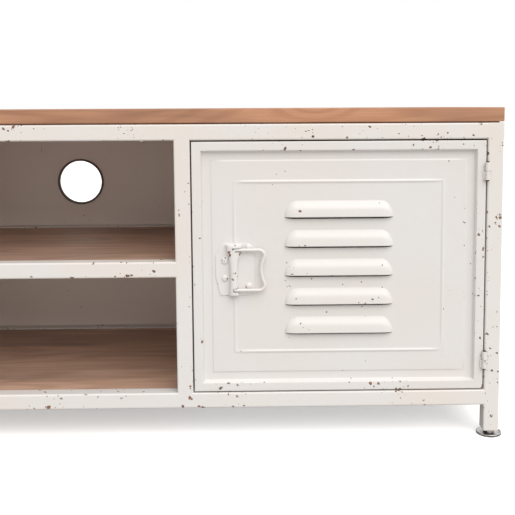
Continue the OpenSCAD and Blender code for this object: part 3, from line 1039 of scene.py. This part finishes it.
@dataclass
class DoorPanel:
    """Pressed steel door: flanged rim, sunk pan, raised field, creased rectangle and louvres."""

    side: Side
    rim: float = 11.0
    pan_depth: float = 6.0
    wall_run: float = 2.2
    fold: float = 0.8
    moat: float = 13.0
    field_step: float = 1.0
    skin: float = 1.2
    lip: float = 12.0
    crease: tuple[float, float] = (131.0, 108.0)
    crease_out: float = 1.05
    crease_run: float = 5.0
    field_columns: tuple[float, float] = (98.0, 114.0)
    louvres: Louvres = field(default_factory=Louvres)

    def __post_init__(self) -> None:
        """Takes the door's size and place from the CAD model."""
        low, high = corners("door_panel_" + self.side.word)
        front = corners("leg_front_right")[0].y
        self.half_w = (high.x - low.x) / 2
        self.half_h = (high.z - low.z) / 2
        self.depth = high.y - front
        middle = Vector(((low.x + high.x) / 2, front, (low.z + high.z) / 2))
        self.place = Matrix.Translation(middle) @ Matrix.Diagonal((self.side.value, 1, 1, 1))
        self.field_y = self.pan_depth - self.field_step

    def bands(self) -> list[tuple[float, float, float]]:
        """Inset, depth and wear of each ring, from the back lip to the raised field."""
        back = self.depth
        pan = self.pan_depth
        fold = self.fold
        rim = self.rim
        foot = rim + self.wall_run
        step = rim + self.moat
        return [(self.lip, back, 0.3), (2.5, back, 0.1), (fold, back, 0.6),
                (0.3 * fold, back - 0.3 * fold, 0.9), (0.0, back - fold, 0.6), (0.0, back - 3.5, 0.1),
                (0.0, 3.5, 0.25), (0.0, fold, 0.9), (0.3 * fold, 0.3 * fold, 1.0), (fold, 0.0, 1.0),
                (3.2, 0.0, 0.55), (rim / 2, 0.0, 0.42), (rim - 2.2, 0.0, 0.5), (rim - 0.5, 0.0, 0.85),
                (rim, 0.25, 0.9), (rim + 0.4, 0.9, 0.5), (foot - 0.4, pan - 0.9, 0.15),
                (foot, pan - 0.25, 0.2),
                (foot + 0.7, pan, 0.1), (foot + 5.0, pan, 0.0), (step - 1.6, pan, 0.0),
                (step - 0.8, pan - 0.2, 0.05), (step, self.field_y + 0.2, 0.1),
                (step + 0.8, self.field_y, 0.05), (step + 6.0, self.field_y, 0.0)]

    def crease_bands(self) -> list[tuple[float, float]]:
        """Outset from the crease and height of each ring of its bead."""
        shape = ((3.0, 0.0), (2.2, 0.10), (1.3, 0.55), (0.6, 0.92), (0.0, 1.0), (-0.6, 0.92), (-1.3, 0.55),
                 (-2.2, 0.10), (-3.0, 0.0))
        return [(out, self.crease_out * high) for out, high in shape]

    def fade(self, across: float, up: float) -> float:
        """Share of the crease's height at a place on it, less at the corners.

        Args:
            across: Place across the creased rectangle, -1 to 1.
            up: Place up the creased rectangle, -1 to 1.

        Returns:
            The share.
        """
        return 0.15 if min(abs(across), abs(up)) > 0.999 else 1.0

    def build(self, finishes: Finishes) -> bpy.types.Object:
        """Draws the door.

        Args:
            finishes: The finishes.

        Returns:
            The door.
        """
        blank = Blank("door-panel." + self.side.word)
        half_x, half_z = (half - self.crease_run for half in self.crease)
        right = [self.louvres.half + self.louvres.beside, *self.field_columns, half_x]
        wide = [-x for x in reversed(right)] + self.louvres.columns() + right
        mouths = [self.louvres.mouth(k) for k in range(self.louvres.count)]
        tall = [-half_z] + mouths + [half_z]
        around = [(x / half_x, -1.0) for x in wide] + [(1.0, z / half_z) for z in tall[1:]]
        around += [(x / half_x, 1.0) for x in reversed(wide[:-1])]
        around += [(-1.0, z / half_z) for z in reversed(tall[1:-1])]

        def ring(at_x: float, at_z: float, deep: float, wear: float) -> list[bmesh.types.BMVert]:
            """Vertices of one rectangle, from its half width, half height, depth and wear."""
            return [blank.point((a * at_x, deep, b * at_z), wear) for a, b in around]

        rows = []
        for inset, deep, wear in self.bands():
            rows.append(ring(self.half_w - inset, self.half_h - inset, deep, wear))
        for out, high in self.crease_bands():
            rows.append([blank.point((a * (self.crease[0] + out), self.field_y - high * self.fade(a, b),
                                      b * (self.crease[1] + out)), 0.12) for a, b in around])
        rows.append(ring(half_x, half_z, self.field_y, 0.0))
        blank.skin(rows)
        self.draw_field(blank, wide, half_z)
        return blank.finish(finishes.door_enamel, "door_" + self.side.word, Slot.PAINT,
                            "door_panel_" + self.side.word, place=self.place, sharp=60.0, skin=self.skin)

    def draw_field(self, blank: Blank, wide: Sequence[float], half_z: float) -> None:
        """Draws the flat inside the crease with its louvres.

        Args:
            blank: The door's mesh.
            wide: Places across the door where a column of vertices stands.
            half_z: Half height of the flat.
        """
        louvres = self.louvres
        columns = []
        for x in wide:
            rise = louvres.rise(x)
            column = [[blank.point((x, self.field_y, -half_z))]]
            for k in range(louvres.count):
                mouth = louvres.mouth(k)
                column[-1].append(blank.point((x, self.field_y, mouth - louvres.slit * rise)))
                hood = []
                for share, out in louvres.profile:
                    up = mouth + (1 - share) * louvres.height * rise
                    deep = self.field_y - louvres.out * out * rise
                    wear = 0.75 if share > 0.9 else 0.32
                    hood.append(blank.point((x, deep, up), wear * min(1, 4 * rise)))
                column.append(hood)
                column.append([hood[-1]])
            column[-1].append(blank.point((x, self.field_y, half_z)))
            columns.append(column)
        for left, right in zip(columns, columns[1:]):
            for run_left, run_right in zip(left, right):
                for k in range(len(run_left) - 1):
                    quad = (run_left[k], run_right[k], run_right[k + 1], run_left[k + 1])
                    blank.mesh.faces.new(quad)


@dataclass
class Handle:
    """Riveted plate with a waisted strap folded round the wire bail, which swings in it."""

    side: Side
    door: DoorPanel
    pivot_in: float = 132.5
    drop: float = 2.5
    plate: float = 1.2
    clip: float = 4.6
    arm: float = 25.5
    slot_half: float = 2.6
    reach: float = 39.0
    wire: float = 2.0
    bend: float = 7.0
    extra: float = 25.0
    outline: tuple[tuple[float, float], ...] = (
        (-22.5, 18), (-14, 33), (20, 33), (26, 28), (26, -28), (20, -33), (-17, -33), (-22.5, -8))
    rivets: tuple[tuple[float, float], ...] = ((-11, 11), (-11, -11), (19, 28), (19, -21))
    dome: tuple[tuple[float, float], ...] = (
        (4.3, 0.0), (4.3, 0.3), (3.9, 0.9), (3.1, 1.4), (2.0, 1.75), (0.9, 1.9), (0, 1.95))
    strap: tuple[tuple[float, float, float, float], ...] = (
        (-32.4, 5.2, 6.8, 6.2), (-32.0, 5.7, 7.3, 7.2), (-31.0, 5.8, 7.4, 7.7), (-28.1, 5.3, 6.8, 7.8),
        (-22.9, 4.9, 6.1, 7.8), (-14.0, 4.6, 5.6, 7.8), (-4.0, 4.5, 5.5, 7.8), (6.0, 4.9, 6.0, 7.8),
        (14.0, 6.0, 7.3, 7.8), (22.9, 8.2, 9.8, 7.8), (28.1, 9.3, 11.0, 7.8), (31.0, 9.8, 11.6, 7.7),
        (32.0, 9.7, 11.5, 7.2), (32.4, 9.2, 11.0, 6.2))

    def bail_path(self) -> list[Vector]:
        """Middle line of the bail about its pivot, from the lower arm to the upper."""
        straight = self.reach - self.bend
        lean = math.radians(self.extra)
        wave = (self.arm - self.bend * (1 + math.sin(lean))) / math.sin(lean)
        wave_x = straight + (self.bend + wave) * math.cos(lean)
        upper = [(0.0, self.arm - 11.0), (0.0, self.arm - 5.0)]
        upper += arc((3.0, self.arm - 3.0), 3.0, 180, 90, 5)
        upper += [(3.0 + (straight - 3.0) * k / 4, self.arm) for k in range(1, 4)]
        upper += arc((straight, self.arm - self.bend), self.bend, 90, -self.extra, 12)
        inward = arc((wave_x, 0.0), wave, 180 - self.extra, 180, 8)
        upper += inward[1:]
        lower = [(x, -z) for x, z in upper[:-1]]
        return [Vector((x, 0.0, z)) for x, z in lower + upper[::-1]]

    def build(self, finishes: Finishes) -> None:
        """Draws the plate, its rivets and the bail.

        Args:
            finishes: The finishes.
        """
        word = self.side.word
        face = self.door.field_y
        pivot_y = face - self.plate - self.clip
        place = self.door.place @ Matrix.Translation((-self.pivot_in, 0.0, -self.drop))
        self.draw_plate(finishes, word, face, place)
        rivets = Blank("handle-rivets." + word)
        for x, z in self.rivets:
            rivets.lathe(self.dome, (x, face - self.plate, z), (0, -1, 0), steps=28, wear=0.3)
        rivets.finish(finishes.handle_enamel, "door_" + word, Slot.PAINT, "handle_rivets_" + word,
                      place=place, sharp=55.0)
        bail = Blank("handle-bail." + word)
        bail.sweep(self.bail_path(), self.wire, sides=20, wear=0.12)
        bail.finish(finishes.handle_enamel, "bail_" + word, Slot.PAINT, "handle_bail_" + word,
                    place=place @ Matrix.Translation((0.0, pivot_y, 0.0)), sharp=60.0)

    def cuts(self, along: float) -> tuple[bool, ...]:
        """Sections that the strap has at a place along it: two where a slot for the bail starts or ends.

        Args:
            along: Place along the pivot.

        Returns:
            Whether each section is cut away, in the order that they are joined.
        """
        for arm in (-self.arm, self.arm):
            if math.isclose(along, arm - self.slot_half, abs_tol=0.05):
                return False, True
            if math.isclose(along, arm + self.slot_half, abs_tol=0.05):
                return True, False
        return (False,)

    def strap_section(self, left: float, right: float, front: float,
                      cut: bool) -> list[tuple[float, float]]:
        """Section of the strap, from its right edge over the front to its left edge.

        Args:
            left: How far it reaches to the left of the pivot.
            right: How far it reaches to the right of the pivot.
            front: How far it stands in front of the plate.
            cut: Whether the right and front of it are cut away for the bail's arm.

        Returns:
            Its points, across and in front of the plate.
        """
        middle = (right - left) / 2
        half = (right + left) / 2
        steps = 16
        foot = 0.6
        sunk = -0.3
        made = [(right + foot, sunk)]
        for k in range(steps + 1):
            turn = math.pi * k / steps
            across = middle + half * math.copysign(abs(math.cos(turn)) ** 0.8, math.cos(turn))
            high = front * math.sin(turn) ** 0.7 if k % steps else 0.0
            made.append((across, sunk if cut and across > 0.0 else high))
        return made + [(-left - foot, sunk)]

    def draw_plate(self, finishes: Finishes, word: str, face: float, place: Matrix) -> None:
        """Draws the plate and its strap.

        Args:
            finishes: The finishes.
            word: Side of the door.
            face: Depth of the field behind the rim's face.
            place: Matrix from the pivot's axes to the cabinet's.
        """
        blank = Blank("handle-plate." + word)
        edge = rounded_outline(self.outline, 3.0)
        rings = []
        for inset, deep in ((0.0, face), (0.0, face - 0.7 * self.plate), (0.15, face - 0.9 * self.plate),
                            (0.5, face - self.plate), (3.0, face - self.plate)):
            rings.append([(x * (1 - inset / 24), deep, z * (1 - inset / 33)) for x, z in edge])
        blank.loft(rings, [0.1, 0.35, 0.35, 0.2, 0.05], True, True)
        top = face - self.plate
        rings = []
        for along, left, right, front in self.strap:
            for cut in self.cuts(along):
                section = self.strap_section(left, right, front, cut)
                rings.append([(x, top - high, along) for x, high in section])
        blank.loft(rings, [0.95] * len(rings), True, True)
        blank.finish(finishes.handle_enamel, "door_" + word, Slot.PAINT, "handle_plate_" + word,
                     place=place, sharp=50.0)


@dataclass
class Hinges:
    """Rolled butt hinges outside the doors: a knuckle and leaf on each half and a headed pin."""

    side: Side
    door: DoorPanel
    up: float = 120.0
    barrel: float = 11.0
    radius: float = 3.0
    pin: float = 1.5
    leaf: float = 4.9
    gap: float = 0.3

    def knuckle(self, blank: Blank, z0: float, z1: float, x: float, reach: float) -> None:
        """Draws one knuckle with its leaf.

        Args:
            blank: Mesh that it is added to.
            z0: Its lower end.
            z1: Its upper end.
            x: Place of the pin.
            reach: Where the leaf ends, beside the pin.
        """
        axis_y = -(self.radius + self.gap)
        tall = z1 - z0
        bore = self.pin + 0.1
        profile = [(bore, 0.3), (bore + 0.4, 0.0), (self.radius - 0.35, 0.0), (self.radius, 0.35),
                   (self.radius, tall - 0.35), (self.radius - 0.35, tall), (bore + 0.4, tall),
                   (bore, tall - 0.3), (bore, 0.3)]
        blank.lathe(profile, (x, axis_y, z0), (0, 0, 1), steps=32, wear=0.95)
        low_x, high_x = sorted((x, reach))
        blank.block((low_x, -1.9, z0 + 0.2), (high_x, -0.02, z1 - 0.2), 0.45, wear=0.8)

    def build(self, finishes: Finishes) -> None:
        """Draws both hinges of a door.

        Args:
            finishes: The finishes.
        """
        word = self.side.word
        x = self.door.half_w + 0.9
        fixed = Blank("hinge-upper-knuckles." + word)
        moving = Blank("hinge-lower-knuckles." + word)
        pins = Blank("hinge-pins." + word)
        for z in (-self.up, self.up):
            self.knuckle(fixed, z + 0.15, z + self.barrel, x, x + self.leaf)
            self.knuckle(moving, z - self.barrel, z - 0.15, x, x - self.leaf)
            tall = self.barrel + 0.15
            profile = [(0, -tall - 1.6), (1.2, -tall - 1.5), (2.1, -tall - 1.0), (2.5, -tall - 0.3),
                       (2.4, -tall), (self.pin, -tall), (self.pin, tall), (2.4, tall), (2.5, tall + 0.3),
                       (2.1, tall + 0.9), (1.2, tall + 1.3), (0, tall + 1.4)]
            pins.lathe(profile, (x, -(self.radius + self.gap), z), (0, 0, 1), steps=28, wear=1.0)
        place = self.door.place
        fixed.finish(finishes.trim_enamel, "frame", Slot.PAINT, "frame_hinge_barrels",
                     place=place, sharp=50.0)
        moving.finish(finishes.trim_enamel, "door_" + word, Slot.PAINT, "door_hinge_barrels_" + word,
                      place=place, sharp=50.0)
        pins.finish(finishes.zinc, "frame", Slot.ZINC, "hinge_pins", place=place, sharp=50.0)


# ---- feet ----


@dataclass
class Foot:
    """Levelling foot: a dished zinc disc on a threaded stud."""

    name: str
    pitch: float = 1.25
    thread: float = 0.45
    stud: float = 3.95
    # Share of the dark brown painted on the foot's lower rim and stud, as painted reflection and painted
    # shadow.
    tarnish_and_painted_shade: float = 0.75

    def build(self, finishes: Finishes) -> bpy.types.Object:
        """Draws the foot in the place of its CAD node.

        Args:
            finishes: The finishes.

        Returns:
            The foot.
        """
        low, high = corners("foot_" + self.name)
        middle = (low + high) / 2
        rim = (high.x - low.x) / 2
        stud = self.stud
        profile = [(0, 0.6), (rim - 6.0, 0.6), (rim - 3.5, 0.0), (rim - 1.0, 0.0), (rim - 0.2, 0.35),
                   (rim, 1.0), (rim, 2.4), (rim - 0.25, 2.9), (rim - 0.9, 3.1), (rim - 1.6, 2.9),
                   (rim - 2.4, 2.2), (rim - 4.5, 1.7), (8.2, 1.7), (6.4, 2.2), (5.6, 3.2), (5.2, 3.9),
                   (4.6, 4.1), (stud - 0.45, 4.2)]
        z = 4.6
        while z < high.z - 1.5:
            profile += [(stud - self.thread, z), (stud, z + 0.45 * self.pitch),
                        (stud, z + 0.6 * self.pitch)]
            z += self.pitch
        profile += [(stud - self.thread, high.z - 0.6), (stud - 1.0, high.z), (0, high.z)]

        def worn(radius: float, height: float) -> float:
            """Painted shade at a radius and height: the lower rim is darkened as a painted dark reflection
            and the stud as the painted shadow under the leg.
            """
            return self.tarnish_and_painted_shade if radius > rim - 0.5 and height < 2.5 or radius < 7 else 0.0

        blank = Blank("levelling-foot." + self.name.replace("_", "-"))
        blank.lathe(profile, (middle.x, middle.y, low.z), (0, 0, 1), steps=48, worn=worn)
        return blank.finish(finishes.zinc, "levelling_foot_" + self.name, Slot.ZINC, "foot_" + self.name,
                            sharp=35.0)


# ---- studio ----


@dataclass
class Studio:
    """Pale floor, soft lights and the camera; its shift is a share of the view's side."""

    camera_place: Point = (304.0, -1160.0, 422.0)
    turn: float = 1.0
    pitch: float = 5.2
    roll: float = 0.3
    lens: float = 56.342
    sensor: float = 36.0
    shift: tuple[float, float] = (-0.04369, -0.15049)
    glow: float = 0.68
    key_from: Point = (0.75, -1.6, 2.0)
    key_strength: float = 2.4
    key_spread: float = 60.0
    floor_reach: float = 9.0

    def build(self) -> None:
        """Lays the floor and sets the lights and the camera."""
        scene = bpy.context.scene
        scene.view_settings.view_transform = "Standard"
        floor = bpy.data.meshes.new("floor")
        reach = self.floor_reach
        corners_of_floor = [(-reach, -reach, 0), (reach, -reach, 0), (reach, reach, 0), (-reach, reach, 0)]
        floor.from_pydata(corners_of_floor, [], [(0, 1, 2, 3)])
        floor.materials.append(StudioFloor().build())
        ground = bpy.data.objects.new("floor", floor)
        scene.collection.objects.link(ground)
        scene.world = self.sky()
        self.key()
        self.set_camera()

    def sky(self) -> bpy.types.World:
        """Lights the room evenly, behind a white backdrop.

        Returns:
            The world.
        """
        world = bpy.data.worlds.new("studio")
        world.use_nodes = True
        tree = world.node_tree
        glow = tree.nodes["Background"]
        glow.inputs["Color"].default_value = (1.0, 0.995, 0.985, 1.0)
        glow.inputs["Strength"].default_value = self.glow
        backdrop = tree.nodes.new("ShaderNodeBackground")
        backdrop.inputs["Color"].default_value = (1.0, 1.0, 1.0, 1.0)
        choose = tree.nodes.new("ShaderNodeMixShader")
        tree.links.new(tree.nodes.new("ShaderNodeLightPath").outputs["Is Camera Ray"], choose.inputs[0])
        tree.links.new(glow.outputs[0], choose.inputs[1])
        tree.links.new(backdrop.outputs[0], choose.inputs[2])
        tree.links.new(choose.outputs[0], tree.nodes["World Output"].inputs["Surface"])
        return world

    def key(self) -> None:
        """Sets the large soft key light, which comes from the front, high and a little to the right."""
        data = bpy.data.lights.new("key", "SUN")
        data.energy = self.key_strength
        data.angle = math.radians(self.key_spread)
        data.color = (1.0, 0.985, 0.965)
        made = bpy.data.objects.new("key", data)
        made.location = self.key_from
        made.rotation_euler = Vector(self.key_from).to_track_quat("Z", "Y").to_euler()
        bpy.context.scene.collection.objects.link(made)

    def set_camera(self) -> None:
        """Aims the camera by its turn, pitch and roll."""
        yaw, pitch, roll = (math.radians(a) for a in (self.turn, self.pitch, self.roll))
        ahead = Vector((math.sin(yaw) * math.cos(pitch), math.cos(yaw) * math.cos(pitch), -math.sin(pitch)))
        right = Vector((math.cos(yaw), -math.sin(yaw), 0.0))
        down = ahead.cross(right)
        level_right = math.cos(roll) * right + math.sin(roll) * down
        level_down = ahead.cross(level_right)
        axes = Matrix((level_right, -level_down, -ahead)).transposed()
        data = bpy.data.cameras.new("camera")
        data.sensor_width = self.sensor
        data.lens = self.lens
        data.shift_x, data.shift_y = self.shift
        made = bpy.data.objects.new("camera", data)
        made.matrix_world = Matrix.Translation(Vector(self.camera_place) * MM) @ axes.to_4x4()
        bpy.context.scene.collection.objects.link(made)
        bpy.context.scene.camera = made


def main() -> None:
    """Builds the cabinet and the studio around it."""
    logging.basicConfig(level=logging.INFO, format="%(name)s: %(message)s")
    finishes = Finishes()
    Studio().build()
    Frame().build(finishes)
    Board("wood_top", staves=3, ease=1.2, slab=17.5).build(finishes.top_wood)
    Board("shelf_board", staves=3, seed=5).build(finishes.shelf_wood)
    Board("bay_floor_board", staves=3, seed=8).build(finishes.shelf_wood)
    for side in Side:
        door = DoorPanel(side)
        door.build(finishes)
        Handle(side, door).build(finishes)
        Hinges(side, door).build(finishes)
    for name in ("front_left", "front_right", "back_left", "back_right"):
        Foot(name).build(finishes)


if __name__ == "__main__":
    main()
